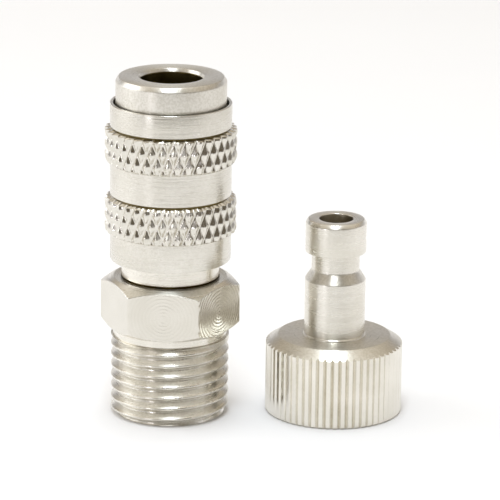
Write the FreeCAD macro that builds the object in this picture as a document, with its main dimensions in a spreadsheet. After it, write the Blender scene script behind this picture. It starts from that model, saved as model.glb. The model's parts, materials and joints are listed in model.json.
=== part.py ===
import FreeCAD, Part
import os
import Sketcher

# A miniature ball-lock air coupling: a socket with a sliding sleeve, and its plug standing beside it.
# Millimetres. The origin is on the socket's axis at the end face of its male thread, +Z towards the mouth.

os.makedirs("parts", exist_ok=True)
doc = FreeCAD.newDocument("air_coupling")

# ---------------------------------------------------------------- driving dimensions
SIZES = [
    # rear adapter
    ("thread_radius", 4.864),       # G1/8 male thread, major radius
    ("thread_end_radius", 4.35),    # end of the thread's lead chamfer
    ("thread_lead", 0.45),
    ("thread_length", 6.75),
    ("collar_radius", 4.7),
    ("collar_top", 7.4),
    ("hex_half_flats", 5.0),        # half of the 10 mm across flats
    ("hex_blank_radius", 6.2),      # larger than the hexagon's corners
    ("hex_top", 11.65),
    ("hex_crown_radius", 4.65),     # flat ring inside the 30 degree chamfer, upper side
    ("hex_crown_drop", 0.895),      # chamfer height out at hex_blank_radius, upper side
    ("hex_foot_radius", 4.9),
    ("hex_foot_rise", 0.75),
    ("hex_turn", -8.9),             # degrees, where the thread happened to end
    ("neck_radius", 4.0),
    ("neck_top", 15.5),
    ("seat_step", 12.1),            # shoulder that carries the body gasket
    ("chamber_radius", 2.85),
    ("chamber_floor", 5.5),
    ("inlet_radius", 2.1),
    # lock body
    ("nose_top", 28.43),
    ("nose_radius", 4.52),
    ("nose_flat_radius", 4.28),
    ("nose_edge", 0.36),            # height of the nose's outer chamfer
    ("bore_radius", 2.53),
    ("mouth_radius", 2.68),
    ("mouth_chamfer", 0.3),
    ("relief_radius", 2.75),        # undercut that ends the mouth's bore above the balls
    ("relief_low", 25.2),
    ("relief_top", 25.85),
    ("nose_underside", 25.2),
    ("ball_zone_radius", 4.05),
    ("ball_zone_low", 21.0),
    ("spigot_radius", 3.35),
    ("spigot_low", 12.7),
    ("bore_floor", 20.2),           # the plug's tip stops a little above this
    ("guide_radius", 2.28),
    ("valve_seat_radius", 2.7),
    ("valve_seat_height", 0.42),
    ("groove_radius", 3.4),
    ("groove_low", 21.45),
    ("groove_top", 22.55),
    # locking balls
    ("ball_radius", 1.0),
    ("ball_circle", 3.0),           # distance of the ball centres from the axis when locked
    ("ball_height", 24.1),
    ("ball_start", 30),             # degrees, direction of the first ball
    ("ball_step", 60),              # degrees between two balls
    ("ball_count", 6),
    ("ball_hole_radius", 1.03),
    ("ball_hole_small", 0.90),      # narrow inner end, which keeps the ball from falling in
    ("ball_cone_start", 2.45),
    ("ball_cone_end", 2.95),
    ("ball_hole_start", 2.2),
    ("ball_hole_end", 4.3),
    # sleeve
    ("sleeve_radius", 4.955),
    ("sleeve_top", 26.29),
    ("sleeve_low", 13.17),
    ("sleeve_edge", 0.15),
    ("knurl_radius", 5.4),
    ("knurl_shoulder", 0.22),
    ("upper_knurl_low", 21.3),
    ("upper_knurl_top", 24.28),
    ("lower_knurl_low", 15.48),
    ("lower_knurl_top", 18.6),
    ("recess_radius", 4.71),
    ("recess_low", 24.81),
    ("land_radius", 4.1),
    ("land_top", 24.2),
    ("land_low", 20.97),            # top of the inner flange, 0.03 under the lock body's shoulder
    ("flange_radius", 3.45),
    ("flange_low", 20.1),
    ("skirt_radius", 4.12),
    # springs
    ("sleeve_wire_radius", 0.25),
    ("sleeve_coil_radius", 3.74),
    ("sleeve_coil_turns", 3.5),
    ("valve_wire_radius", 0.2),
    ("valve_coil_radius", 1.9),
    ("valve_coil_turns", 6),
    ("spring_gap", 0.02),           # between a spring's end and its seat
    # seals
    ("plug_ring_radius", 2.93),
    ("plug_ring_section", 0.47),
    ("plug_ring_height", 22.0),
    ("gasket_gap", 0.6),            # thickness of the body gasket
    ("valve_ring_radius", 2.12),
    ("valve_ring_section", 0.36),
    ("valve_ring_height", 12.755),
    # valve
    ("stem_radius", 2.2),
    ("stem_bore", 1.4),
    ("stem_top", 22.48),
    ("stem_low", 13.13),
    ("stem_bore_low", 13.4),
    ("valve_neck_radius", 1.75),
    ("valve_head_radius", 2.5),
    ("valve_head_top", 12.39),
    ("valve_head_low", 11.7),
    ("port_radius", 0.7),
    ("port_height", 14.3),
    # plug, heights from its own foot
    ("plug_distance", 13.6),        # from the socket's axis to the plug's axis
    ("nut_radius", 5.645),
    ("nut_edge", 0.15),
    ("nut_shoulder", 5.85),
    ("nut_top", 6.5),
    ("nut_flat_radius", 4.62),
    ("stub_foot_radius", 2.6),
    ("stub_foot_top", 6.58),
    ("stub_start", 6.68),
    ("stub_radius", 2.5),
    ("stub_cone_low", 11.31),
    ("stub_neck_low", 12.12),
    ("stub_neck_radius", 1.975),
    ("stub_neck_top", 13.65),
    ("tip_edge_low", 16.11),
    ("tip_flat_radius", 2.295),
    ("tip_top", 16.4),
    ("plug_hole_radius", 1.4),
    ("plug_thread_radius", 4.283),  # G1/8 female thread, minor radius
    ("plug_thread_mouth", 4.9),
    ("plug_thread_lead", 0.6),
    ("plug_thread_top", 4.4),
    ("undercut_radius", 4.5),
    ("undercut_top", 5.2),
    ("plug_gasket_low", 4.6),
    ("plug_gasket_inner", 1.6),
    ("plug_gasket_outer", 4.45),
]

sizes = doc.addObject("Spreadsheet::Sheet", "sizes")
value = {}
for row, (alias, number) in enumerate(SIZES, start=1):
    sizes.set(f"A{row}", alias)
    sizes.set(f"B{row}", str(number))
    sizes.setAlias(f"B{row}", alias)
    value[alias] = number
doc.recompute()


# ---------------------------------------------------------------- helpers
def amount(words):
    """The number that a sum of size names stands for, such as 'nose_top - nose_edge'."""
    total = 0.0
    sign = 1
    for word in words.split():
        if word == "+":
            sign = 1
        elif word == "-":
            sign = -1
        else:
            total += sign * value[word]
    return total


def bound(words):
    """The same sum as a FreeCAD expression that reads the spreadsheet."""
    parts = [word if word in "+-" else "sizes." + word for word in words.split()]
    return " ".join(parts)


def new_body(label):
    body = doc.addObject("PartDesign::Body", label)
    body.Label = label
    return body


def origin_plane(body, role):
    for feature in body.Origin.OriginFeatures:
        if feature.Role == role:
            return feature
    raise ValueError("no origin plane " + role)


def new_sketch(body, name, role="XZ_Plane"):
    sketch = body.newObject("Sketcher::SketchObject", name)
    sketch.AttachmentSupport = [(origin_plane(body, role), "")]
    sketch.MapMode = "FlatFace"
    return sketch


def bind(sketch, constraint, name, words):
    index = sketch.addConstraint(constraint)
    sketch.renameConstraint(index, name)
    sketch.setExpression("Constraints." + name, bound(words))


def outline(sketch, corners):
    """A closed outline in the XZ plane. Each corner is (radius, height) in size names; 'axis' means
    on the Z axis and 'foot' means at height zero."""
    ends = []
    for radius, height in corners:
        x = 0.0 if radius == "axis" else amount(radius)
        z = 0.0 if height == "foot" else amount(height)
        ends.append(FreeCAD.Vector(x, z, 0))
    count = len(corners)
    for number in range(count):
        sketch.addGeometry(Part.LineSegment(ends[number], ends[(number + 1) % count]))
    for number in range(count):
        sketch.addConstraint(Sketcher.Constraint("Coincident", number, 2, (number + 1) % count, 1))
    for number, (radius, height) in enumerate(corners):
        if radius == "axis":
            sketch.addConstraint(Sketcher.Constraint("PointOnObject", number, 1, -2))
        else:
            rule = Sketcher.Constraint("DistanceX", -1, 1, number, 1, ends[number].x)
            bind(sketch, rule, f"r{number}", radius)
        if height == "foot":
            sketch.addConstraint(Sketcher.Constraint("PointOnObject", number, 1, -1))
        else:
            rule = Sketcher.Constraint("DistanceY", -1, 1, number, 1, ends[number].y)
            bind(sketch, rule, f"h{number}", height)


def turn(body, name, corners):
    """Adds a turned solid: the outline revolved about Z."""
    sketch = new_sketch(body, name + "_sketch")
    outline(sketch, corners)
    solid = body.newObject("PartDesign::Revolution", name)
    solid.Profile = sketch
    solid.ReferenceAxis = (sketch, ["V_Axis"])
    solid.Angle = 360
    sketch.Visibility = False
    doc.recompute()
    return solid


def turn_away(body, name, corners):
    """Cuts a turned hollow: the outline revolved about Z and taken away."""
    before = body.Shape.Volume
    sketch = new_sketch(body, name + "_sketch")
    outline(sketch, corners)
    cut = body.newObject("PartDesign::Groove", name)
    cut.Profile = sketch
    cut.ReferenceAxis = (sketch, ["V_Axis"])
    cut.Angle = 360
    sketch.Visibility = False
    doc.recompute()
    if body.Shape.Volume >= before:
        raise ValueError(name + " removed nothing")
    return cut


def repeat(body, name, feature, count):
    """Repeats a cut evenly about Z."""
    before = body.Shape.Volume
    pattern = body.newObject("PartDesign::PolarPattern", name)
    pattern.Originals = [feature]
    pattern.Axis = (origin_plane(body, "Z_Axis"), [""])
    pattern.Angle = 360
    pattern.Occurrences = count
    body.Tip = pattern
    doc.recompute()
    if body.Shape.Volume >= before:
        raise ValueError(name + " removed nothing")
    return pattern


def o_ring(label, ring_radius, section, height):
    ring = doc.addObject("Part::Torus", label)
    ring.Label = label
    ring.setExpression("Radius1", bound(ring_radius))
    ring.setExpression("Radius2", bound(section))
    ring.setExpression("Placement.Base.z", bound(height))
    return ring


def coil_spring(label, coil_radius, wire_radius, turns, low, top):
    """A round wire wound about Z between the seats at low and top."""
    body = new_body(label)
    sketch = new_sketch(body, label + "_wire")
    start = f"{low} + spring_gap + {wire_radius}"
    centre = FreeCAD.Vector(amount(coil_radius), amount(start), 0)
    sketch.addGeometry(Part.Circle(centre, FreeCAD.Vector(0, 0, 1), amount(wire_radius)))
    bind(sketch, Sketcher.Constraint("Radius", 0, amount(wire_radius)), "wire", wire_radius)
    bind(sketch, Sketcher.Constraint("DistanceX", -1, 1, 0, 3, centre.x), "coil", coil_radius)
    bind(sketch, Sketcher.Constraint("DistanceY", -1, 1, 0, 3, centre.y), "start", start)
    helix = body.newObject("PartDesign::AdditiveHelix", label + "_helix")
    helix.Profile = sketch
    helix.ReferenceAxis = (sketch, ["V_Axis"])
    helix.Mode = "height-turns-angle"
    height = f"{top} - {low} - spring_gap - spring_gap - {wire_radius} - {wire_radius}"
    helix.setExpression("Height", bound(height))
    helix.setExpression("Turns", bound(turns))
    sketch.Visibility = False
    doc.recompute()
    return body


# ---------------------------------------------------------------- rear adapter
adapter = new_body("rear_adapter")

hex_sketch = new_sketch(adapter, "hexagon_sketch", "XY_Plane")
hex_corner = amount("hex_half_flats") * 2 / 3 ** 0.5
hex_points = []
for number in range(6):
    turned = FreeCAD.Rotation(FreeCAD.Vector(0, 0, 1), 60 * number + amount("hex_turn"))
    hex_points.append(turned.multVec(FreeCAD.Vector(hex_corner, 0, 0)))
for number in range(6):
    hex_sketch.addGeometry(Part.LineSegment(hex_points[number], hex_points[(number + 1) % 6]))
rim = Part.Circle(FreeCAD.Vector(0, 0, 0), FreeCAD.Vector(0, 0, 1), hex_corner)
hex_sketch.addGeometry(rim, True)
spoke = Part.LineSegment(FreeCAD.Vector(0, 0, 0), hex_points[0])
hex_sketch.addGeometry(spoke, True)
for number in range(6):
    hex_sketch.addConstraint(Sketcher.Constraint("Coincident", number, 2, (number + 1) % 6, 1))
    hex_sketch.addConstraint(Sketcher.Constraint("PointOnObject", number, 1, 6))
for number in range(5):
    hex_sketch.addConstraint(Sketcher.Constraint("Equal", number, number + 1))
hex_sketch.addConstraint(Sketcher.Constraint("Coincident", 6, 3, -1, 1))
hex_sketch.addConstraint(Sketcher.Constraint("Coincident", 7, 1, -1, 1))
hex_sketch.addConstraint(Sketcher.Constraint("Coincident", 7, 2, 0, 1))
index = hex_sketch.addConstraint(Sketcher.Constraint("Radius", 6, hex_corner))
hex_sketch.renameConstraint(index, "corner")
hex_sketch.setExpression("Constraints.corner", "sizes.hex_half_flats * 2 / sqrt(3)")
tilt = FreeCAD.Units.Quantity(f"{amount('hex_turn')} deg")
index = hex_sketch.addConstraint(Sketcher.Constraint("Angle", -1, 1, 7, 1, tilt))
hex_sketch.renameConstraint(index, "tilt")
hex_sketch.setExpression("Constraints.tilt", "sizes.hex_turn * 1 deg")
hexagon = adapter.newObject("PartDesign::Pad", "hexagon")
hexagon.Profile = hex_sketch
hexagon.setExpression("Length", bound("hex_top"))
hex_sketch.Visibility = False
doc.recompute()

turn_away(adapter, "hexagon_crown", [
    ("hex_crown_radius", "hex_top"),
    ("hex_blank_radius", "hex_top - hex_crown_drop"),
    ("hex_blank_radius", "hex_top"),
])
turn_away(adapter, "below_hexagon", [
    ("thread_end_radius", "foot"),
    ("thread_radius", "thread_lead"),
    ("thread_radius", "thread_length"),
    ("collar_radius", "thread_length"),
    ("collar_radius", "collar_top"),
    ("hex_foot_radius", "collar_top"),
    ("hex_blank_radius", "collar_top + hex_foot_rise"),
    ("hex_blank_radius", "foot"),
])
turn(adapter, "neck", [
    ("axis", "hex_top"),
    ("neck_radius", "hex_top"),
    ("neck_radius", "neck_top"),
    ("axis", "neck_top"),
])
turn_away(adapter, "valve_chamber", [
    ("axis", "foot"),
    ("inlet_radius", "foot"),
    ("inlet_radius", "chamber_floor"),
    ("chamber_radius", "chamber_floor"),
    ("chamber_radius", "seat_step"),
    ("spigot_radius", "seat_step"),
    ("spigot_radius", "neck_top"),
    ("axis", "neck_top"),
])

# ---------------------------------------------------------------- lock body
lock = new_body("lock_body")
turn(lock, "lock_blank", [
    ("guide_radius", "spigot_low + valve_seat_height"),
    ("valve_seat_radius", "spigot_low"),
    ("spigot_radius", "spigot_low"),
    ("spigot_radius", "ball_zone_low"),
    ("ball_zone_radius", "ball_zone_low"),
    ("ball_zone_radius", "nose_underside"),
    ("nose_radius", "nose_underside"),
    ("nose_radius", "nose_top - nose_edge"),
    ("nose_flat_radius", "nose_top"),
    ("mouth_radius", "nose_top"),
    ("bore_radius", "nose_top - mouth_chamfer"),
    ("bore_radius", "bore_floor"),
    ("guide_radius", "bore_floor"),
])
turn_away(lock, "bore_relief", [
    ("guide_radius", "relief_low"),
    ("relief_radius", "relief_low"),
    ("relief_radius", "relief_top"),
    ("guide_radius", "relief_top"),
])
turn_away(lock, "plug_seal_groove", [
    ("guide_radius", "groove_low"),
    ("groove_radius", "groove_low"),
    ("groove_radius", "groove_top"),
    ("guide_radius", "groove_top"),
])

ball_sketch = new_sketch(lock, "ball_hole_sketch")
outline(ball_sketch, [
    ("ball_hole_start", "ball_height"),
    ("ball_hole_end", "ball_height"),
    ("ball_hole_end", "ball_height + ball_hole_radius"),
    ("ball_cone_end", "ball_height + ball_hole_radius"),
    ("ball_cone_start", "ball_height + ball_hole_small"),
    ("ball_hole_start", "ball_height + ball_hole_small"),
])
ball_axis = Part.LineSegment(
    FreeCAD.Vector(amount("ball_hole_start"), amount("ball_height"), 0),
    FreeCAD.Vector(amount("ball_hole_end"), amount("ball_height"), 0),
)
ball_sketch.addGeometry(ball_axis, True)
ball_sketch.addConstraint(Sketcher.Constraint("Coincident", 6, 1, 0, 1))
ball_sketch.addConstraint(Sketcher.Constraint("Coincident", 6, 2, 1, 1))
ball_hole = lock.newObject("PartDesign::Groove", "ball_hole")
ball_hole.Profile = ball_sketch
ball_hole.ReferenceAxis = (ball_sketch, ["Axis0"])
ball_hole.Angle = 360
ball_sketch.Visibility = False
doc.recompute()
repeat(lock, "ball_holes", ball_hole, int(value["ball_count"]))
# the hole is cut towards +X, so the whole lock body is turned to the first ball's direction
lock.setExpression("Placement.Rotation.Angle", "sizes.ball_start * 1 deg")

# ---------------------------------------------------------------- sleeve
sleeve = new_body("sleeve")
turn(sleeve, "sleeve_blank", [
    ("skirt_radius", "sleeve_low"),
    ("sleeve_radius - sleeve_edge", "sleeve_low"),
    ("sleeve_radius", "sleeve_low + sleeve_edge"),
    ("sleeve_radius", "lower_knurl_low"),
    ("knurl_radius", "lower_knurl_low + knurl_shoulder"),
    ("knurl_radius", "lower_knurl_top - knurl_shoulder"),
    ("sleeve_radius", "lower_knurl_top"),
    ("sleeve_radius", "upper_knurl_low"),
    ("knurl_radius", "upper_knurl_low + knurl_shoulder"),
    ("knurl_radius", "upper_knurl_top - knurl_shoulder"),
    ("sleeve_radius", "upper_knurl_top"),
    ("sleeve_radius", "sleeve_top"),
    ("recess_radius", "sleeve_top"),
    ("recess_radius", "recess_low"),
    ("land_radius", "land_top"),
    ("land_radius", "land_low"),
    ("flange_radius", "land_low"),
    ("flange_radius", "flange_low"),
    ("skirt_radius", "flange_low"),
])

# ---------------------------------------------------------------- sleeve spring
coil_spring("sleeve_spring", "sleeve_coil_radius", "sleeve_wire_radius", "sleeve_coil_turns",
            "neck_top", "flange_low")

# ---------------------------------------------------------------- locking balls
for number in range(int(value["ball_count"])):
    label = f"ball_{number + 1}"
    ball = doc.addObject("Part::Sphere", label)
    ball.Label = label
    direction = f"(sizes.ball_start + {number} * sizes.ball_step) * 1 deg"
    ball.setExpression("Radius", bound("ball_radius"))
    ball.setExpression("Placement.Base.x", f"sizes.ball_circle * cos({direction})")
    ball.setExpression("Placement.Base.y", f"sizes.ball_circle * sin({direction})")
    ball.setExpression("Placement.Base.z", bound("ball_height"))

# ---------------------------------------------------------------- seals
o_ring("plug_seal", "plug_ring_radius", "plug_ring_section", "plug_ring_height")
o_ring("valve_seal", "valve_ring_radius", "valve_ring_section", "valve_ring_height")
body_seal = new_body("body_seal")
turn(body_seal, "gasket_ring", [
    ("chamber_radius", "seat_step"),
    ("spigot_radius", "seat_step"),
    ("spigot_radius", "seat_step + gasket_gap"),
    ("chamber_radius", "seat_step + gasket_gap"),
])

# ---------------------------------------------------------------- shut-off valve
poppet = new_body("valve_poppet")
turn(poppet, "poppet_blank", [
    ("axis", "valve_head_low"),
    ("valve_head_radius", "valve_head_low"),
    ("valve_head_radius", "valve_head_top"),
    ("valve_neck_radius", "valve_head_top"),
    ("valve_neck_radius", "stem_low"),
    ("stem_radius", "stem_low"),
    ("stem_radius", "stem_top"),
    ("stem_bore", "stem_top"),
    ("stem_bore", "stem_bore_low"),
    ("axis", "stem_bore_low"),
])
volume_before = poppet.Shape.Volume
port_sketch = new_sketch(poppet, "port_sketch")
port_centre = FreeCAD.Vector(0, amount("port_height"), 0)
port_sketch.addGeometry(Part.Circle(port_centre, FreeCAD.Vector(0, 0, 1), amount("port_radius")))
bind(port_sketch, Sketcher.Constraint("Radius", 0, amount("port_radius")), "port", "port_radius")
port_sketch.addConstraint(Sketcher.Constraint("PointOnObject", 0, 3, -2))
rule = Sketcher.Constraint("DistanceY", -1, 1, 0, 3, amount("port_height"))
bind(port_sketch, rule, "height", "port_height")
port = poppet.newObject("PartDesign::Pocket", "cross_port")
port.Profile = port_sketch
port.Type = "ThroughAll"
port.Midplane = True
port_sketch.Visibility = False
doc.recompute()
if poppet.Shape.Volume >= volume_before:
    raise ValueError("cross_port removed nothing")
# one drilling goes through both walls, so the second one, a quarter turn on, makes four ports
cross = poppet.newObject("PartDesign::PolarPattern", "cross_ports")
cross.Originals = [port]
cross.Axis = (origin_plane(poppet, "Z_Axis"), [""])
cross.Angle = 180
cross.Occurrences = 2
poppet.Tip = cross
doc.recompute()

coil_spring("valve_spring", "valve_coil_radius", "valve_wire_radius", "valve_coil_turns",
            "chamber_floor", "valve_head_low")

# ---------------------------------------------------------------- plug
nipple = new_body("plug_nipple")
turn(nipple, "nipple_blank", [
    ("plug_thread_mouth", "foot"),
    ("nut_radius - nut_edge", "foot"),
    ("nut_radius", "nut_edge"),
    ("nut_radius", "nut_shoulder"),
    ("nut_flat_radius", "nut_top"),
    ("stub_foot_radius", "nut_top"),
    ("stub_foot_radius", "stub_foot_top"),
    ("stub_radius", "stub_start"),
    ("stub_radius", "stub_cone_low"),
    ("stub_neck_radius", "stub_neck_low"),
    ("stub_neck_radius", "stub_neck_top"),
    ("stub_radius", "stub_neck_top"),
    ("stub_radius", "tip_edge_low"),
    ("tip_flat_radius", "tip_top"),
    ("plug_hole_radius", "tip_top"),
    ("plug_hole_radius", "undercut_top"),
    ("undercut_radius", "undercut_top"),
    ("undercut_radius", "plug_thread_top"),
    ("plug_thread_radius", "plug_thread_top"),
    ("plug_thread_radius", "plug_thread_lead"),
])
nipple.setExpression("Placement.Base.x", bound("plug_distance"))

plug_gasket = new_body("plug_gasket")
turn(plug_gasket, "plug_gasket_ring", [
    ("plug_gasket_inner", "plug_gasket_low"),
    ("plug_gasket_outer", "plug_gasket_low"),
    ("plug_gasket_outer", "undercut_top"),
    ("plug_gasket_inner", "undercut_top"),
])
plug_gasket.setExpression("Placement.Base.x", bound("plug_distance"))

# ---------------------------------------------------------------- check and write
doc.recompute()
for item in doc.Objects:
    if "Invalid" in item.State or "Error" in item.State:
        raise ValueError(item.Label + " failed to compute")

pieces = [item for item in doc.Objects
          if item.isDerivedFrom("PartDesign::Body") or item.isDerivedFrom("Part::Primitive")]
pieces = [item for item in pieces if item.getParentGeoFeatureGroup() is None]
for piece in pieces:
    shape = piece.Shape
    if shape.isNull() or not shape.isValid() or len(shape.Solids) != 1:
        raise ValueError(piece.Label + " isn't one valid solid")
for piece in pieces:
    piece.Shape.exportStep(f"parts/{piece.Label}.step")
    print(f"{piece.Label:14s} volume {piece.Shape.Volume:8.3f} mm3")
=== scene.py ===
import json
import math
import bmesh
import bpy
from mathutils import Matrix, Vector, noise


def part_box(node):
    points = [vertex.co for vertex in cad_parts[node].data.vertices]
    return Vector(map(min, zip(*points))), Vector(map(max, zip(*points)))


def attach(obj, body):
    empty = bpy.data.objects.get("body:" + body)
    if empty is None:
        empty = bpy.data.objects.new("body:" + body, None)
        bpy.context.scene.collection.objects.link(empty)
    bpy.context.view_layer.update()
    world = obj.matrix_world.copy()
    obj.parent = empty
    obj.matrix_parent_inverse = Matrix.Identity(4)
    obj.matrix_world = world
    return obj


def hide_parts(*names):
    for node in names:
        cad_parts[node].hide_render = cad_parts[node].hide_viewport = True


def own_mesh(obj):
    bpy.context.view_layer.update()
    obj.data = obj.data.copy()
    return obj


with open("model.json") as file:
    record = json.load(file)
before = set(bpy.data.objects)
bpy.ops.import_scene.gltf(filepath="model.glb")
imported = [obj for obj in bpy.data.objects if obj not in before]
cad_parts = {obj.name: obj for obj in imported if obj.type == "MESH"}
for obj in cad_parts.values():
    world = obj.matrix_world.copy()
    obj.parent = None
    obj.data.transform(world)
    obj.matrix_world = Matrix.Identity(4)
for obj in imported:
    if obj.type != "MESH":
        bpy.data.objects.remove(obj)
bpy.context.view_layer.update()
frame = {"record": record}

# ---------------------------------------------------------------- rear adapter
# Turned from 10 mm hexagon bar in brass and nickel plated: G1/8 male thread, collar, hexagon and neck.
# The lock body screws into the neck. The hexagon's flats still show the arcs of the facing cutter.
MM = 0.001
mounts = {mount["name"]: mount for mount in frame["record"]["mounts"]}


def reach(node):
    """Lowest and highest corner of a node in millimetres."""
    low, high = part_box(node)
    return low / MM, high / MM


def eased(corners, steps=3):
    """An outline of (radius, height) pairs. A corner given as (radius, height, ease) is rounded off,
    with ease as the distance from the corner to where the rounding starts. The outline is taken as
    closed, so the first corner's neighbour is the last."""
    outline = []
    for place, corner in enumerate(corners):
        here = Vector(corner[:2])
        if len(corner) < 3:
            outline.append(tuple(here))
            continue
        before = Vector(corners[place - 1][:2]) - here
        after = Vector(corners[(place + 1) % len(corners)][:2]) - here
        start = here + before.normalized() * corner[2]
        end = here + after.normalized() * corner[2]
        for step in range(steps + 1):
            share = step / steps
            along = start.lerp(here, share)
            outline.append(tuple(along.lerp(here.lerp(end, share), share)))
    return outline


def even_angles(count, start=0.0):
    """Angles round one full turn, the last of them a full turn on from the first."""
    return [start + 2 * math.pi * step / count for step in range(count + 1)]


def make_piece(name, verts, faces, sharp_degrees):
    """A closed mesh piece from points in millimetres."""
    build = bmesh.new()
    points = [build.verts.new(Vector(vert) * MM) for vert in verts]
    for face in faces:
        build.faces.new([points[corner] for corner in face])
    bmesh.ops.remove_doubles(build, verts=build.verts, dist=1e-8)
    bmesh.ops.dissolve_degenerate(build, edges=build.edges, dist=1e-8)
    bmesh.ops.recalc_face_normals(build, faces=build.faces)
    mesh = bpy.data.meshes.new(name)
    build.to_mesh(mesh)
    build.free()
    mesh.polygons.foreach_set("use_smooth", [True] * len(mesh.polygons))
    mesh.set_sharp_from_angle(angle=math.radians(sharp_degrees))
    piece = bpy.data.objects.new(name, mesh)
    bpy.context.scene.collection.objects.link(piece)
    return piece


def turned(name, outline_at, angles, centre=(0.0, 0.0), sharp_degrees=28):
    """A turned piece: the closed (radius, height) outline of outline_at(angle), carried round Z."""
    verts = []
    for angle in angles:
        for radius, height in outline_at(angle):
            x = centre[0] + radius * math.cos(angle)
            y = centre[1] + radius * math.sin(angle)
            verts.append((x, y, height))
    rows = len(verts) // len(angles)
    faces = []
    for column in range(len(angles) - 1):
        for row in range(rows):
            above = (row + 1) % rows
            faces.append((column * rows + row, (column + 1) * rows + row,
                          (column + 1) * rows + above, column * rows + above))
    return make_piece(name, verts, faces, sharp_degrees)


def pipe_thread(angle, low, high, major, run_out=0.01):
    """Points of a G1/8 thread's flank line between two heights: 55 degree Whitworth form, rounded
    crest and root, right-handed. Turns past either end are pressed flat on it, and over the last
    run_out millimetres below the top the groove runs out to nothing."""
    pitch = 0.907
    depth = 0.6403 * pitch
    rounding = 0.1373 * pitch
    bend = math.radians(62.5)
    points = []
    turns = int((high - low) / pitch) + 3
    for turn in range(-1, turns):
        for middle, sign in ((0.0, 1), (0.5, -1)):
            for step in range(5):
                swing = bend * (step / 2 - 1)
                rise = low + pitch * (turn + middle + angle / (2 * math.pi)) + rounding * math.sin(swing)
                cap = rounding * (1 - math.cos(swing))
                rise = min(max(rise, low), high)
                cut = cap if sign == 1 else depth - cap
                points.append((major - cut * min(1.0, (high - rise) / run_out), rise))
    return points


def blank_finish(name, metallic=1.0):
    """A new material with its node tree and shader."""
    finish = bpy.data.materials.new(name)
    finish.use_nodes = True
    shader = finish.node_tree.nodes["Principled BSDF"]
    shader.inputs["Metallic"].default_value = metallic
    return finish, finish.node_tree, shader


def noise_over(tree, points, scale, detail):
    """Noise over the points, its scale in blotches to the metre."""
    field = tree.nodes.new("ShaderNodeTexNoise")
    field.inputs["Scale"].default_value = scale
    field.inputs["Detail"].default_value = detail
    tree.links.new(points, field.inputs["Vector"])
    return field


def tint(tree, field, dark, light):
    """Colours the skin from dark to light as the field rises."""
    colour = tree.nodes.new("ShaderNodeValToRGB")
    colour.color_ramp.elements[0].color = (*dark, 1.0)
    colour.color_ramp.elements[1].color = (*light, 1.0)
    tree.links.new(field, colour.inputs["Fac"])
    tree.links.new(colour.outputs["Color"], tree.nodes["Principled BSDF"].inputs["Base Color"])
    return colour


def polish(tree, field, gloss_range):
    """Takes the skin's roughness through a range as the field rises."""
    gloss = tree.nodes.new("ShaderNodeMapRange")
    gloss.inputs["To Min"].default_value, gloss.inputs["To Max"].default_value = gloss_range
    tree.links.new(field, gloss.inputs["Value"])
    tree.links.new(gloss.outputs["Result"], tree.nodes["Principled BSDF"].inputs["Roughness"])
    return gloss


def raised(tree, field, depth, before=None):
    """The normal of a skin that stands out with the field, depth in metres, over any relief before it."""
    relief = tree.nodes.new("ShaderNodeBump")
    relief.inputs["Distance"].default_value = depth
    tree.links.new(field, relief.inputs["Height"])
    if before:
        tree.links.new(before, relief.inputs["Normal"])
    return relief.outputs["Normal"]


def worked(tree, kind, operation, *values):
    """A Math or Vector Math node. Each value is a number, a vector or another node's output."""
    step = tree.nodes.new(f"ShaderNode{kind}")
    step.operation = operation
    for place, value in enumerate(values):
        if isinstance(value, bpy.types.NodeSocket):
            tree.links.new(value, step.inputs[place])
        else:
            step.inputs[place].default_value = value
    return step


def facing_arcs(tree, from_axis, height):
    """Arcs left on each flat by the facing cutter: rings about the flat's middle, measured along the flat
    and up it."""
    pivot_height = 9.4 * MM
    flat = tree.nodes.new("ShaderNodeNewGeometry")
    along = worked(tree, "VectorMath", "CROSS_PRODUCT", flat.outputs["True Normal"], (0.0, 0.0, 1.0))
    across = worked(tree, "VectorMath", "DOT_PRODUCT", along.outputs[0], from_axis)
    spot = tree.nodes.new("ShaderNodeCombineXYZ")
    tree.links.new(across.outputs["Value"], spot.inputs["X"])
    tree.links.new(height, spot.inputs["Y"])
    swing = worked(tree, "VectorMath", "DISTANCE", spot.outputs[0], (0.0, pivot_height, 0.0))
    sweep = tree.nodes.new("ShaderNodeCombineXYZ")
    tree.links.new(swing.outputs["Value"], sweep.inputs["X"])
    marks = tree.nodes.new("ShaderNodeTexWave")
    marks.wave_type = "BANDS"
    marks.bands_direction = "X"
    marks.inputs["Scale"].default_value = 1080.0
    marks.inputs["Distortion"].default_value = 0.9
    marks.inputs["Detail"].default_value = 1.0
    tree.links.new(sweep.outputs[0], marks.inputs["Vector"])
    return marks.outputs["Fac"]


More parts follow.
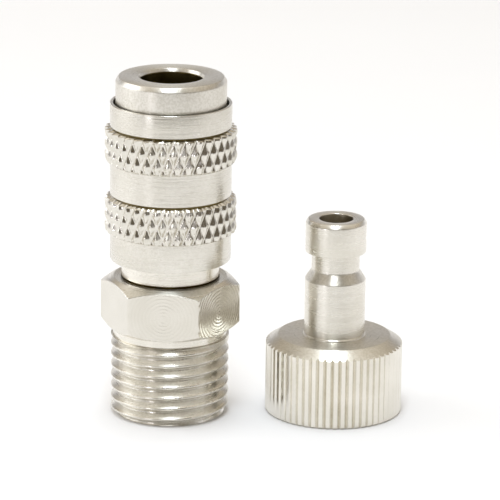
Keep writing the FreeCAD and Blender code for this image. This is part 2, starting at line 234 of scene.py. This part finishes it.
def nickel(name, ring_depth, turned_grain=True, facing=False, centre=(0.0, 0.0), gloss_range=(0.18, 0.32),
           grit=0.6, tone=1.0, speckle=0.4):
    """Bright nickel plating over brass: fine rings from the lathe, slightly cloudy gloss. Without turned
    grain it is the smoother skin of a rolled or faced surface. Grit is the depth of its pores in microns,
    tone how bright it is, speckle how much the pores show as colour."""
    finish, tree, shader = blank_finish(name)
    place = tree.nodes.new("ShaderNodeTexCoord").outputs["Object"]
    axis_foot = (centre[0] * MM, centre[1] * MM, 0.0)
    from_axis = worked(tree, "VectorMath", "SUBTRACT", place, axis_foot).outputs[0]
    parts = tree.nodes.new("ShaderNodeSeparateXYZ")
    tree.links.new(from_axis, parts.inputs[0])

    # The tool's feed is the distance out and up, so its rings run level on a wall and round on a face.
    flat = worked(tree, "VectorMath", "MULTIPLY", from_axis, (1.0, 1.0, 0.0))
    radius = worked(tree, "VectorMath", "LENGTH", flat.outputs[0])
    feed = worked(tree, "Math", "MULTIPLY_ADD", radius.outputs["Value"], 1.3, parts.outputs["Z"])
    lathe = tree.nodes.new("ShaderNodeCombineXYZ")
    for axis in ("X", "Y"):
        slow = worked(tree, "Math", "MULTIPLY", parts.outputs[axis], 0.035)
        tree.links.new(slow.outputs[0], lathe.inputs[axis])
    tree.links.new(feed.outputs[0], lathe.inputs["Z"])
    rings = noise_over(tree, lathe.outputs[0], 7000.0, 4.0)
    rings.inputs["Roughness"].default_value = 0.62
    cloud = noise_over(tree, place, 330.0, 3.0).outputs["Fac"]
    grain = noise_over(tree, place, 5600.0, 2.0).outputs["Fac"]

    relief = raised(tree, rings.outputs["Fac"], 0.000009 * ring_depth)
    relief = raised(tree, grain, 0.000001 * grit, relief)
    if facing:
        marks = facing_arcs(tree, from_axis, parts.outputs["Z"])
        relief = raised(tree, marks, 0.000011, relief)
        faint = worked(tree, "Math", "MULTIPLY", cloud, 0.8)
        mottle = worked(tree, "Math", "MULTIPLY_ADD", marks, 0.12, faint.outputs[0])
    else:
        centred = worked(tree, "Math", "SUBTRACT", cloud, speckle / 2)
        mottle = worked(tree, "Math", "MULTIPLY_ADD", grain, speckle, centred.outputs[0])
    tree.links.new(relief, shader.inputs["Normal"])
    colour = tint(tree, mottle.outputs[0], (0.72 * tone, 0.69 * tone, 0.615 * tone),
                  (0.82 * tone, 0.79 * tone, 0.725 * tone))
    dark, light = colour.color_ramp.elements
    dark.position, light.position = 0.3, 0.72
    gloss = polish(tree, rings.outputs["Fac"], gloss_range)
    gloss.inputs["From Min"].default_value, gloss.inputs["From Max"].default_value = 0.3, 0.7

    if turned_grain:
        round_about = tree.nodes.new("ShaderNodeTangent")
        round_about.direction_type = "RADIAL"
        round_about.axis = "Z"
        tree.links.new(round_about.outputs["Tangent"], shader.inputs["Tangent"])
        shader.inputs["Anisotropic"].default_value = 0.6
        shader.inputs["Anisotropic Rotation"].default_value = 0.25
    return finish


def plain_finish(name, scale, detail, dark, light, gloss_range, relief=0.0, metallic=1.0):
    """A skin with one noise in its colour and its gloss, which also stands out by relief, in metres."""
    finish, tree, shader = blank_finish(name, metallic)
    place = tree.nodes.new("ShaderNodeTexCoord").outputs["Object"]
    field = noise_over(tree, place, scale, detail).outputs["Fac"]
    tint(tree, field, dark, light)
    polish(tree, field, gloss_range)
    if relief:
        tree.links.new(raised(tree, field, relief), shader.inputs["Normal"])
    return finish


def hollow_shade_finish(name, dark, light):
    """Dark brass colour for the hollows: painted shade inside passages, bores, grooves and undercuts."""
    return plain_finish(name, 900.0, 4.0, dark, light, gloss_range=(0.2, 0.45))


def finish_faces(piece, finish, belongs, centre=(0.0, 0.0)):
    """Gives a finish to the faces that belongs(distance from the axis, height, upward share of the
    normal) picks, in millimetres."""
    piece.data.materials.append(finish)
    slot = len(piece.data.materials) - 1
    for face in piece.data.polygons:
        middle = face.center / MM
        away = math.hypot(middle.x - centre[0], middle.y - centre[1])
        if belongs(away, middle.z, face.normal.z):
            face.material_index = slot


adapter_high = reach("rear_adapter")[1]
thread_radius = mounts["inlet_thread"]["dims"]["r_mm"]
thread_start = 0.05
thread_end = 6.75
thread_lead = 0.45
thread_run_out = 0.45
thread_tip = 4.35
collar_radius = 4.7
collar_top = 7.4
hex_half = 5.0
hex_top = 11.65
hex_crown = 4.65
hex_foot = 4.9
hex_slope = math.tan(math.radians(30))
hex_turn = math.radians(-8.9)
neck_radius = 4.0
neck_top = adapter_high.z
neck_chamfer = 0.1
undercut_depth = 0.2      # turned in where the neck meets the hexagon
undercut_half = 0.1
spigot_radius = 3.35
seat_step = 12.1
chamber_radius = 2.85
chamber_floor = 5.5
inlet_radius = 2.1
inlet_chamfer = 0.25
edge_break = 0.03
steep = 0.2               # a face that looks less than this far up or down counts as a wall


def adapter_outline(angle):
    swing = (angle - hex_turn + math.pi / 6) % (math.pi / 3) - math.pi / 6
    hex_corner = hex_half / math.cos(math.pi / 6) - edge_break
    hex_radius = min(hex_half / math.cos(math.pi / 6 - abs(swing)), hex_corner)
    crown_edge = hex_top - (hex_radius - hex_crown) * hex_slope
    foot_edge = collar_top + (hex_radius - hex_foot) * hex_slope
    body = [(inlet_radius + inlet_chamfer, 0.0), (thread_tip - edge_break, 0.0), (thread_tip, edge_break)]
    for radius, height in pipe_thread(angle, thread_start, thread_end, thread_radius, thread_run_out):
        lead = thread_tip + (thread_radius - thread_tip) * height / thread_lead
        body.append((min(radius, lead), height))
    body += [
        (collar_radius - edge_break, thread_end),
        (collar_radius, thread_end + edge_break),
        (collar_radius, collar_top),
        (hex_foot, collar_top),
        (hex_radius - edge_break, foot_edge - 0.02),
        (hex_radius, foot_edge + 0.04),
        (hex_radius, crown_edge - 0.04),
        (hex_radius - edge_break, crown_edge + 0.02),
        (hex_crown, hex_top),
        (neck_radius + 0.06, hex_top),
        (neck_radius - undercut_depth, hex_top - undercut_half),
        (neck_radius - undercut_depth, hex_top + undercut_half),
        (neck_radius, hex_top + undercut_half + 0.06),
        (neck_radius, neck_top - neck_chamfer),
        (neck_radius - neck_chamfer, neck_top),
        (spigot_radius, neck_top),
        (spigot_radius, seat_step),
        (chamber_radius, seat_step),
        (chamber_radius, chamber_floor),
        (inlet_radius, chamber_floor),
        (inlet_radius, inlet_chamfer),
    ]
    return body


def in_adapter_hollows(away, height, upward):
    passage = away < spigot_radius + 0.1 and 0.3 < height < neck_top - 0.05
    undercut = abs(height - hex_top) < 0.15 and neck_radius - 0.3 < away < neck_radius + 0.1
    return passage or undercut


def on_flats(away, height, upward):
    return height > collar_top and away > hex_foot and abs(upward) < steep


def coarse_turned(away, height, upward):
    on_hexagon = height > collar_top and away > neck_radius + 0.1
    on_thread = height < thread_end and away > neck_radius
    return (on_hexagon or on_thread) and not on_flats(away, height, upward)


adapter = turned("rear_adapter_plated", adapter_outline, even_angles(288, hex_turn), sharp_degrees=24)
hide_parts("rear_adapter")
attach(adapter, "socket")
adapter.data.materials.append(nickel("nickel_turned_adapter", ring_depth=0.6, tone=1.03))
# Painted shade: this dark brass colour stands in for the shade inside the adapter's passages and the neck's
# undercut.
painted_hollow_shade = hollow_shade_finish("brass_hollow_painted_shade", (0.05, 0.036, 0.011), (0.24, 0.185, 0.075))
faced_hexagon = nickel("nickel_faced_hexagon", ring_depth=0.05, turned_grain=False, facing=True,
                       gloss_range=(0.12, 0.2), tone=0.95)
coarse_nickel = nickel("nickel_coarse_turned", ring_depth=1.1, gloss_range=(0.22, 0.38), grit=2.2, tone=0.97,
                       speckle=1.6)
finish_faces(adapter, painted_hollow_shade, in_adapter_hollows)
finish_faces(adapter, faced_hexagon, on_flats)
finish_faces(adapter, coarse_nickel, coarse_turned)

# ---------------------------------------------------------------- lock body
# The socket's nose, plug bore and ball cage in one turned brass piece, nickel plated. Six tapered holes
# are drilled in from the outside for the balls, and the spigot below screws into the adapter.
lock_low, lock_high = reach("lock_body")
nose_radius = lock_high.x
nose_top = lock_high.z
nose_foot = 25.2
nose_chamfer = (0.24, 0.36)     # inwards, and down
bore_radius = mounts["coupling_mouth"]["dims"]["r_mm"]
bore_floor = 20.2
mouth_radius = 2.68
mouth_chamfer = 0.3
relief_radius = 2.75            # undercut that ends the mouth's bore above the balls
relief_top = 25.85
cage_radius = 4.05
cage_low = 21.0
seal_groove_radius = 3.4
seal_groove_low = 21.45
seal_groove_top = 22.55
guide_radius = 2.28             # the valve's stem slides in it
valve_seat_radius = 2.7
valve_seat_top = 13.12
ball_hole_radius = 1.03
ball_hole_small = 0.9           # narrow inner end, which keeps the ball from falling in
ball_hole_start = 2.2
ball_hole_end = 4.3
ball_cone_start = 2.45
ball_cone_end = 2.95


def lock_outline(angle):
    return eased([
        (guide_radius, valve_seat_top),
        (valve_seat_radius, lock_low.z),
        (spigot_radius, lock_low.z, 0.1),
        (spigot_radius, cage_low),
        (cage_radius, cage_low, 0.05),
        (cage_radius, nose_foot),
        (nose_radius, nose_foot, 0.05),
        (nose_radius, nose_top - nose_chamfer[1], 0.06),
        (nose_radius - nose_chamfer[0], nose_top, 0.05),
        (mouth_radius, nose_top, 0.02),
        (bore_radius, nose_top - mouth_chamfer, 0.05),
        (bore_radius, relief_top),
        (relief_radius, relief_top),
        (relief_radius, nose_foot),
        (bore_radius, nose_foot),
        (bore_radius, seal_groove_top),
        (seal_groove_radius, seal_groove_top),
        (seal_groove_radius, seal_groove_low),
        (bore_radius, seal_groove_low),
        (bore_radius, bore_floor),
        (guide_radius, bore_floor),
    ])


def ball_hole_outline(angle):
    """The cutter for one ball's hole, from the axis outwards."""
    return [
        (0.0, ball_hole_start),
        (ball_hole_small, ball_hole_start),
        (ball_hole_small, ball_cone_start),
        (ball_hole_radius, ball_cone_end),
        (ball_hole_radius, ball_hole_end),
        (0.0, ball_hole_end),
    ]


def drill(piece, holes):
    """Takes closed cutter meshes out of a piece."""
    for cutter in holes:
        cut = piece.modifiers.new("drill", "BOOLEAN")
        cut.operation = "DIFFERENCE"
        cut.solver = "EXACT"
        cut.object = cutter
    bpy.context.view_layer.update()
    done = bpy.data.meshes.new_from_object(piece.evaluated_get(bpy.context.evaluated_depsgraph_get()))
    piece.modifiers.clear()
    piece.data = done
    for cutter in holes:
        bpy.data.objects.remove(cutter)
    done.set_sharp_from_angle(angle=math.radians(30))


def in_bore(away, height, upward):
    return away < seal_groove_radius + 0.05 and lock_low.z < height < nose_top - 0.25


ball_nodes = [f"ball_{number}" for number in range(1, 7)]
ball_centres = []
for node in ball_nodes:
    low, high = reach(node)
    ball_centres.append((low + high) / 2)

lock = turned("lock_body_plated", lock_outline, even_angles(192))
drills = []
for centre in ball_centres:
    hole = turned("ball_drill", ball_hole_outline, even_angles(48))
    hole.rotation_euler = (0.0, math.pi / 2, math.atan2(centre.y, centre.x))
    hole.location = (0.0, 0.0, centre.z * MM)
    drills.append(hole)
drill(lock, drills)
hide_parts("lock_body")
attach(lock, "socket")
lock.data.materials.append(nickel("nickel_turned_nose", ring_depth=0.12, gloss_range=(0.26, 0.38), grit=8.0,
                                  tone=0.94, speckle=2.2))
# Painted shade: the bore's walls take the dark brass colour in place of the shade inside the bore.
finish_faces(lock, painted_hollow_shade, in_bore)

# ---------------------------------------------------------------- release sleeve
# Brass tube, turned, diamond knurled in two bands and nickel plated. Its inner flange sits on the
# spring, its upper recess lets the balls out when it is pulled back.
sleeve_low, sleeve_high = reach("sleeve")
sleeve_radius = 4.955
skirt_radius = 4.12
skirt_edge = 0.15
flange_radius = 3.45
flange_low = 20.1
land_radius = 4.1
land_low = 20.97
land_top = 24.2
recess_radius = 4.71
recess_low = 24.81
band_groove_depth = 0.12        # turned over each knurled band
knurl_radius = sleeve_high.x
knurl_teeth = 36
knurl_rise = 2.0
knurl_depth = 0.38
knurl_crest = 0.78              # the rolled teeth keep a small flat top
knurl_flat = 0.12               # share of a groove's width that is its flat bottom
knurl_shallow = 0.12            # one set of grooves is rolled this much less deep than the other
knurl_wear = 0.02
knurl_shoulder_slope = 2.4
knurl_bands = ((15.48, 18.6), (21.3, 24.28))
knurl_columns = knurl_teeth * 16
knurl_step = knurl_rise / 16
collar_foot = 25.0


def tooth_height(share):
    """Height beside a groove: 0 along its narrow flat bottom, 1 half way to the next groove."""
    away = 1 - abs(2 * (share % 1.0) - 1)
    return max(0.0, away - knurl_flat) / (1 - knurl_flat)


def knurled(angle, height, low, high):
    """Radius of the knurled band between two heights: where two sets of grooves leave the metal."""
    around = knurl_teeth * angle / (2 * math.pi)
    shallow = tooth_height(around + height / knurl_rise) + knurl_shallow
    deep = tooth_height(around - height / knurl_rise)
    tooth = min(shallow, deep, knurl_crest)
    wear = knurl_wear * noise.noise(Vector((3 * math.cos(angle), 3 * math.sin(angle), height * 0.7)) * 2.6)
    radius = knurl_radius - knurl_wear - knurl_depth * (knurl_crest - tooth) + wear
    shoulder = sleeve_radius + 0.04 + min(height - low, high - height) * knurl_shoulder_slope
    return min(radius, max(shoulder, sleeve_radius))


def sleeve_outline(angle):
    outline = [
        (skirt_radius, sleeve_low.z + 0.1),
        (skirt_radius + 0.1, sleeve_low.z),
        (4.8, sleeve_low.z),
        (4.9, sleeve_low.z + 0.04),
        (sleeve_radius, sleeve_low.z + skirt_edge),
    ]
    for low, high in knurl_bands:
        outline.append((sleeve_radius, low))
        first = math.ceil(low / knurl_step) + 1
        last = math.floor(high / knurl_step)
        for level in range(first, last):
            outline.append((knurled(angle, level * knurl_step, low, high), level * knurl_step))
        outline += [
            (sleeve_radius - band_groove_depth, high),
            (sleeve_radius - band_groove_depth, high + 0.07),
            (sleeve_radius, high + 0.13),
        ]
    outline += eased([
        (sleeve_radius, collar_foot),
        (sleeve_radius, sleeve_high.z, 0.05),
        (recess_radius, sleeve_high.z, 0.05),
        (recess_radius, recess_low),
        (land_radius, land_top),
        (land_radius, land_low),
        (flange_radius, land_low),
        (flange_radius, flange_low),
        (skirt_radius, flange_low),
    ])
    return outline


def on_knurl(away, height, upward):
    return away > sleeve_radius + 0.02


def in_band_groove(away, height, upward):
    in_depth = sleeve_radius - band_groove_depth - 0.01 < away < sleeve_radius - 0.02
    return in_depth and knurl_bands[0][0] < height < collar_foot


sleeve = turned("sleeve_plated", sleeve_outline, even_angles(knurl_columns), sharp_degrees=30)
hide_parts("sleeve")
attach(sleeve, "sleeve")
sleeve.data.materials.append(nickel("nickel_turned_sleeve", ring_depth=1.7, tone=0.93, speckle=0.8))
rolled_nickel = nickel("nickel_rolled_knurl", ring_depth=0.05, turned_grain=False, gloss_range=(0.15, 0.28),
                       grit=2.5, tone=0.93, speckle=1.2)
finish_faces(sleeve, rolled_nickel, on_knurl)
finish_faces(sleeve, painted_hollow_shade, in_band_groove)     # painted shade: the dark brass colour stands in for the shade in these grooves

# ---------------------------------------------------------------- springs
# Two compression springs wound from round stainless wire, with their end turns closed and ground. One
# stands on the adapter's neck and pushes the sleeve up, the other in the chamber, under the valve.


def wound_spring(name, coil_radius, wire_radius, low, high, open_turns):
    """A compression spring between two heights, one closed turn at each end."""
    around, per_turn = 14, 56
    total = open_turns + 2
    count = int(total * per_turn)
    open_rise = (high - low - 4 * wire_radius) / open_turns
    rises = []
    for step in range(count):
        turn = step / per_turn
        closed = min(turn, total - turn) < 1
        rises.append(2 * wire_radius if closed else open_rise)
    stretch = (high - low - wire_radius * 1.1) / sum(rises)
    level = low + wire_radius * 0.55
    verts, faces = [], []
    for step, rise in enumerate([0.0] + rises):
        level += rise * stretch
        angle = 2 * math.pi * step / per_turn
        for spoke in range(around):
            swing = 2 * math.pi * spoke / around
            radius = coil_radius + wire_radius * math.cos(swing)
            height = min(max(level + wire_radius * math.sin(swing), low), high)
            verts.append((radius * math.cos(angle), radius * math.sin(angle), height))
    for step in range(count):
        for spoke in range(around):
            after = (spoke + 1) % around
            faces.append((step * around + spoke, (step + 1) * around + spoke,
                          (step + 1) * around + after, step * around + after))
    faces.append(tuple(range(around)))
    faces.append(tuple(count * around + spoke for spoke in reversed(range(around))))
    return make_piece(name, verts, faces, sharp_degrees=50)


wire = plain_finish("spring_wire_steel", 9000.0, 3.0, dark=(0.50, 0.50, 0.51), light=(0.72, 0.72, 0.73),
                    gloss_range=(0.22, 0.42), relief=0.000001)
sleeve_spring = wound_spring("sleeve_spring_wire", 3.74, 0.25, neck_top, flange_low, 3.0)
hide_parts("sleeve_spring")
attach(sleeve_spring, "sleeve_spring")
sleeve_spring.data.materials.append(wire)
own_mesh(sleeve_spring)

poppet_low, poppet_high = reach("valve_poppet")
valve_spring = wound_spring("valve_spring_wire", 1.9, 0.2, chamber_floor, poppet_low.z, 4.5)
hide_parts("valve_spring")
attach(valve_spring, "socket")
valve_spring.data.materials.append(wire)
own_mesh(valve_spring)

# ---------------------------------------------------------------- locking balls
# Six bearing balls of 2 mm in hardened steel, ground and polished. They lie loose in the lock body's
# tapered holes, and the sleeve's land holds them in the plug's groove.
ball_steel = plain_finish("ball_steel_polished", 2200.0, 4.0, dark=(0.62, 0.62, 0.63),
                          light=(0.76, 0.76, 0.77), gloss_range=(0.04, 0.14))
ball_radius = (reach("ball_1")[1].z - reach("ball_1")[0].z) / 2
for node, centre in zip(ball_nodes, ball_centres):
    build = bmesh.new()
    bmesh.ops.create_icosphere(build, subdivisions=4, radius=ball_radius * MM)
    bmesh.ops.translate(build, verts=build.verts, vec=centre * MM)
    mesh = bpy.data.meshes.new(node + "_steel")
    build.to_mesh(mesh)
    build.free()
    mesh.polygons.foreach_set("use_smooth", [True] * len(mesh.polygons))
    ball = bpy.data.objects.new(node + "_steel", mesh)
    bpy.context.scene.collection.objects.link(ball)
    ball.data.materials.append(ball_steel)
    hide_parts(node)
    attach(ball, node)

# ---------------------------------------------------------------- seals
# Black nitrile rubber. Two moulded O-rings are sprung into their grooves, one in the bore round the plug
# and one on the valve, and a stamped flat ring is clamped between the adapter and the lock body.
nitrile = plain_finish("nitrile_black", 5200.0, 5.0, dark=(0.012, 0.012, 0.013), light=(0.045, 0.044, 0.043),
                       gloss_range=(0.42, 0.66), relief=0.000003, metallic=0.0)


def o_ring(name, node, body):
    """An O-ring where the node lies, with the faint flash line of its mould at its widest and its
    narrowest."""
    low, high = reach(node)
    section = (high.z - low.z) / 2
    ring = high.x - section
    level = (low.z + high.z) / 2
    flash = 0.006
    sides = 32

    def ring_outline(angle):
        points = []
        for step in range(sides):
            swing = 2 * math.pi * step / sides
            outwards = section if step in (0, sides // 2) else section - flash
            points.append((ring + outwards * math.cos(swing), level + section * math.sin(swing)))
        return points

    piece = turned(name, ring_outline, even_angles(144), sharp_degrees=60)
    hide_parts(node)
    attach(piece, body)
    piece.data.materials.append(nitrile)


def flat_gasket(name, node, inner, body, centre=(0.0, 0.0)):
    """A stamped flat ring where the node lies, with slightly soft edges."""
    low, high = reach(node)
    outer = high.x - centre[0]
    soft_edge = 0.05

    def gasket_outline(angle):
        return eased([
            (inner, low.z, soft_edge),
            (outer, low.z, soft_edge),
            (outer, high.z, soft_edge),
            (inner, high.z, soft_edge),
        ])

    piece = turned(name, gasket_outline, even_angles(144), centre, sharp_degrees=60)
    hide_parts(node)
    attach(piece, body)
    piece.data.materials.append(nitrile)


o_ring("plug_seal_ring", "plug_seal", "socket")
o_ring("valve_seal_ring", "valve_seal", "valve")
flat_gasket("body_seal_ring", "body_seal", chamber_radius, "socket")

# ---------------------------------------------------------------- shut-off valve
# Turned brass poppet, left unplated: a hollow stem that the plug's tip pushes down, four cross ports
# and a head that carries the O-ring.
valve_head_radius = 2.5
valve_head_top = 12.39
valve_neck_radius = 1.75
stem_radius = 2.2
stem_low = 13.13
stem_bore_radius = 1.4
stem_bore_low = 13.4
port_radius = 0.7
port_reach = 3.0
port_height = 14.3


def poppet_outline(angle):
    return eased([
        (0.0, poppet_low.z),
        (valve_head_radius, poppet_low.z, 0.08),
        (valve_head_radius, valve_head_top, 0.05),
        (valve_neck_radius, valve_head_top),
        (valve_neck_radius, stem_low),
        (stem_radius, stem_low, 0.05),
        (stem_radius, poppet_high.z, 0.12),
        (stem_bore_radius, poppet_high.z, 0.05),
        (stem_bore_radius, stem_bore_low),
        (0.0, stem_bore_low),
    ])


def port_outline(angle):
    return [(0.0, -port_reach), (port_radius, -port_reach), (port_radius, port_reach), (0.0, port_reach)]


def raw_brass(name):
    """Turned brass: fine rings in its gloss, with patches of tarnish."""
    finish, tree, shader = blank_finish(name)
    place = tree.nodes.new("ShaderNodeTexCoord").outputs["Object"]
    stretch = tree.nodes.new("ShaderNodeMapping")
    stretch.inputs["Scale"].default_value = (0.05, 0.05, 1.0)
    tree.links.new(place, stretch.inputs["Vector"])
    rings = noise_over(tree, stretch.outputs[0], 8000.0, 3.0).outputs["Fac"]
    tarnish = noise_over(tree, place, 600.0, 4.0).outputs["Fac"]
    tint(tree, tarnish, (0.62, 0.42, 0.15), (0.86, 0.66, 0.31))
    polish(tree, rings, (0.18, 0.4))
    tree.links.new(raised(tree, rings, 0.000002), shader.inputs["Normal"])
    return finish


poppet = turned("valve_poppet_brass", poppet_outline, even_angles(96))
ports = []
for quarter in range(2):
    port = turned("port_drill", port_outline, even_angles(32))
    port.rotation_euler = (0.0, math.pi / 2, math.pi / 2 * quarter)
    port.location = (0.0, 0.0, port_height * MM)
    ports.append(port)
drill(poppet, ports)
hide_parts("valve_poppet")
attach(poppet, "valve")
poppet.data.materials.append(raw_brass("brass_turned"))

# ---------------------------------------------------------------- plug
# The other half, turned in one piece from brass and nickel plated: a hollow locking stub with its ball
# groove, on a straight-knurled nut. The nut has a G1/8 female thread, open below, with a flat gasket
# pressed in at the deep end.
plug_centre = (mounts["plug_thread"]["pos_m"][0] / MM, 0.0)
nipple_high = reach("plug_nipple")[1]
nut_radius = nipple_high.y
nut_foot = 4.95
nut_shoulder = 5.85
nut_top = 6.5
nut_flat = 4.62
flute_count = 58
flute_depth = 0.24
flute_share = 0.46              # of half a flute's width; the rest is the flat land between two
flute_columns = 12
stub_radius = mounts["plug_nose"]["dims"]["r_mm"]
stub_foot_radius = 2.6
stub_foot_top = 6.58
stub_start = 6.68
stub_cone_low = 11.31
groove_radius = 1.975
groove_low = 12.12
groove_top = 13.65
tip_top = nipple_high.z
tip_chamfer = 0.29
tip_flat_radius = 2.295
plug_hole_radius = 1.4
gasket_bore_radius = 1.6
female_minor = mounts["plug_thread"]["dims"]["r_mm"]
female_major = thread_radius + 0.01
female_top = 4.3
female_lead = 0.6
well_radius = 4.5               # clearance over the thread, with the gasket at its top
well_low = 4.4
well_top = 5.2


def nut_edge(angle):
    """Radius of the straight-knurled rim: rounded V flutes between narrow flat lands."""
    share = abs(2 * ((flute_count * angle / (2 * math.pi)) % 1.0) - 1)
    return nut_radius - flute_depth * max(0.0, 1 - share / flute_share) ** 0.85


def nipple_outline(angle):
    rim = nut_edge(angle)
    slope = (nut_top - nut_shoulder) / (nut_radius - nut_flat)
    scallop = nut_shoulder + (nut_radius - rim) * slope
    outline = [(nut_foot, 0.0), (5.45, 0.0), (min(rim, 5.56), 0.06), (rim, 0.16)]
    outline += eased([
        (rim, scallop),
        (nut_flat, nut_top, 0.05),
        (stub_foot_radius, nut_top),
        (stub_foot_radius, stub_foot_top, 0.04),
        (stub_radius, stub_start),
        (stub_radius, stub_cone_low, 0.06),
        (groove_radius, groove_low, 0.06),
        (groove_radius, groove_top),
        (stub_radius, groove_top, 0.05),
        (stub_radius, tip_top - tip_chamfer, 0.06),
        (tip_flat_radius, tip_top, 0.05),
        (plug_hole_radius, tip_top, 0.06),
        (plug_hole_radius, well_top),
        (well_radius, well_top),
        (well_radius, well_low),
    ])
    for radius, height in reversed(pipe_thread(angle, thread_start, female_top, female_major)):
        lead = nut_foot - (nut_foot - female_minor) * height / female_lead
        outline.append((max(radius, lead), height))
    return outline


def in_plug_hole(away, height, upward):
    return away < plug_hole_radius + 0.05 and well_top - 0.2 < height < tip_top - 0.1


def on_flutes(away, height, upward):
    return abs(upward) < steep and away > nut_radius - 0.35


def on_nut_top(away, height, upward):
    return upward > steep and nut_shoulder - 0.1 < height < tip_top - 1.0


nipple = turned("plug_nipple_plated", nipple_outline, even_angles(flute_count * flute_columns), plug_centre,
                sharp_degrees=30)
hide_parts("plug_nipple")
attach(nipple, "plug")
nipple.data.materials.append(nickel("nickel_turned_plug", ring_depth=0.05, centre=plug_centre,
                                    gloss_range=(0.24, 0.34), grit=3.5))
# Painted shade: the plug's hole takes a darker brass colour in place of the shade inside it.
painted_plug_hole_shade = hollow_shade_finish("brass_plug_hole_painted_shade", (0.34, 0.30, 0.23), (0.58, 0.53, 0.43))
rolled_flutes = nickel("nickel_rolled_flutes", ring_depth=0.05, turned_grain=False, gloss_range=(0.14, 0.24),
                       tone=1.04)
coarse_plug = nickel("nickel_coarse_turned_plug", ring_depth=0.8, centre=plug_centre,
                     gloss_range=(0.26, 0.42), grit=9.0, tone=0.93, speckle=2.2)
finish_faces(nipple, painted_plug_hole_shade, in_plug_hole, plug_centre)
finish_faces(nipple, rolled_flutes, on_flutes, plug_centre)
finish_faces(nipple, coarse_plug, on_nut_top, plug_centre)
flat_gasket("plug_gasket_ring", "plug_gasket", gasket_bore_radius, "plug", plug_centre)

# ---------------------------------------------------------------- table, light and camera
# Not part of the coupling: a table top of pale laminate, four soft lamps and a plain room round them.
# The camera stands a little above the mouths, turned slightly to the right.


def pale_top(name):
    """Matt white laminate, very slightly cloudy."""
    finish, tree, shader = blank_finish(name, metallic=0.0)
    shader.inputs["Roughness"].default_value = 0.6
    place = tree.nodes.new("ShaderNodeTexCoord").outputs["Object"]
    cloud = noise_over(tree, place, 40.0, 2.0).outputs["Fac"]
    tint(tree, cloud, (0.900, 0.892, 0.905), (0.915, 0.908, 0.918))
    return finish


def board(name, size):
    """A flat square stage board on the floor, size in metres."""
    build = bmesh.new()
    bmesh.ops.create_grid(build, x_segments=8, y_segments=8, size=size / 2)
    mesh = bpy.data.meshes.new(name)
    build.to_mesh(mesh)
    build.free()
    made = bpy.data.objects.new(name, mesh)
    bpy.context.scene.collection.objects.link(made)
    return made


table_top = board("table_top", 1.3)
table_top.data.materials.append(pale_top("table_white"))


def soft_box(name, location, target, size, power, colour):
    """A rectangular lamp that looks at the target. It lights the scene and isn't seen itself."""
    light = bpy.data.lights.new(name, "AREA")
    light.shape = "RECTANGLE"
    light.size, light.size_y = size
    light.energy = power
    light.color = colour
    lamp = bpy.data.objects.new(name, light)
    lamp.location = location
    lamp.visible_camera = False
    lamp.rotation_euler = (Vector(target) - Vector(location)).to_track_quat("-Z", "Y").to_euler()
    bpy.context.scene.collection.objects.link(lamp)


subject = (0.0065, 0.0, 0.010)
soft_box("overhead_strip", (-0.005, -0.06, 0.46), subject, (0.09, 0.36), 1.2, (0.80, 0.90, 1.0))
soft_box("front_box", (-0.04, -0.31, 0.36), subject, (0.16, 0.08), 0.28, (0.92, 0.96, 1.0))
soft_box("left_box", (-0.50, 0.10, 0.27), subject, (0.45, 0.40), 1.07, (0.93, 0.96, 1.0))
soft_box("low_left_lamp", (-0.40, -0.42, 0.09), subject, (0.05, 0.08), 0.16, (0.94, 0.93, 1.0))


def studio_surround(world):
    """The room round the table: pale just above the table top, grey above that, warm ceiling, and
    darker on the side the camera looks from."""
    world.use_nodes = True
    nodes, links = world.node_tree.nodes, world.node_tree.links
    back = nodes["Background"]
    back.inputs["Strength"].default_value = 1.04
    place = nodes.new("ShaderNodeTexCoord")
    parts = nodes.new("ShaderNodeSeparateXYZ")
    links.new(place.outputs["Generated"], parts.inputs[0])
    climb = nodes.new("ShaderNodeValToRGB")
    climb.color_ramp.elements[0].color = (0.96, 0.95, 0.96, 1.0)
    climb.color_ramp.elements[1].color = (0.93, 0.86, 0.74, 1.0)
    shades = ((0.15, (0.95, 0.94, 0.95)), (0.22, (0.44, 0.44, 0.46)), (0.29, (0.35, 0.35, 0.365)),
              (0.4, (0.45, 0.40, 0.34)), (0.55, (0.54, 0.47, 0.37)), (0.85, (0.82, 0.76, 0.66)))
    for height, shade in shades:
        climb.color_ramp.elements.new(height).color = (*shade, 1.0)
    links.new(parts.outputs["Z"], climb.inputs["Fac"])
    side = nodes.new("ShaderNodeMapRange")
    side.inputs["From Min"].default_value = -0.35
    side.inputs["From Max"].default_value = -0.85
    links.new(parts.outputs["Y"], side.inputs["Value"])
    dim = nodes.new("ShaderNodeMix")
    dim.data_type = "RGBA"     # its sockets repeat names: 0 is the factor, 6 and 7 the two colours
    dim.inputs[7].default_value = (0.12, 0.10, 0.07, 1.0)
    links.new(side.outputs["Result"], dim.inputs[0])
    links.new(climb.outputs["Color"], dim.inputs[6])
    links.new(dim.outputs[2], back.inputs["Color"])


bpy.context.scene.world = bpy.data.worlds.new("studio")
studio_surround(bpy.context.scene.world)

azimuth = math.radians(3.88)
elevation = math.radians(16.31)
roll = math.radians(0.708)
distance = 0.2901
aim = Vector((0.006505, -0.000441, 0.01386))
forward = Vector((math.sin(azimuth) * math.cos(elevation), math.cos(azimuth) * math.cos(elevation),
                  -math.sin(elevation)))
lens = bpy.data.cameras.new("camera")
lens.lens = 255.05
lens.sensor_width = 36.0
lens.clip_start = 0.01
lens.clip_end = 10.0
camera = bpy.data.objects.new("camera", lens)
camera.location = aim - forward * distance
camera.rotation_euler = forward.to_track_quat("-Z", "Y").to_euler()
camera.rotation_euler.rotate_axis("Z", roll)
bpy.context.scene.collection.objects.link(camera)
bpy.context.scene.camera = camera
bpy.context.scene.view_settings.view_transform = "Standard"
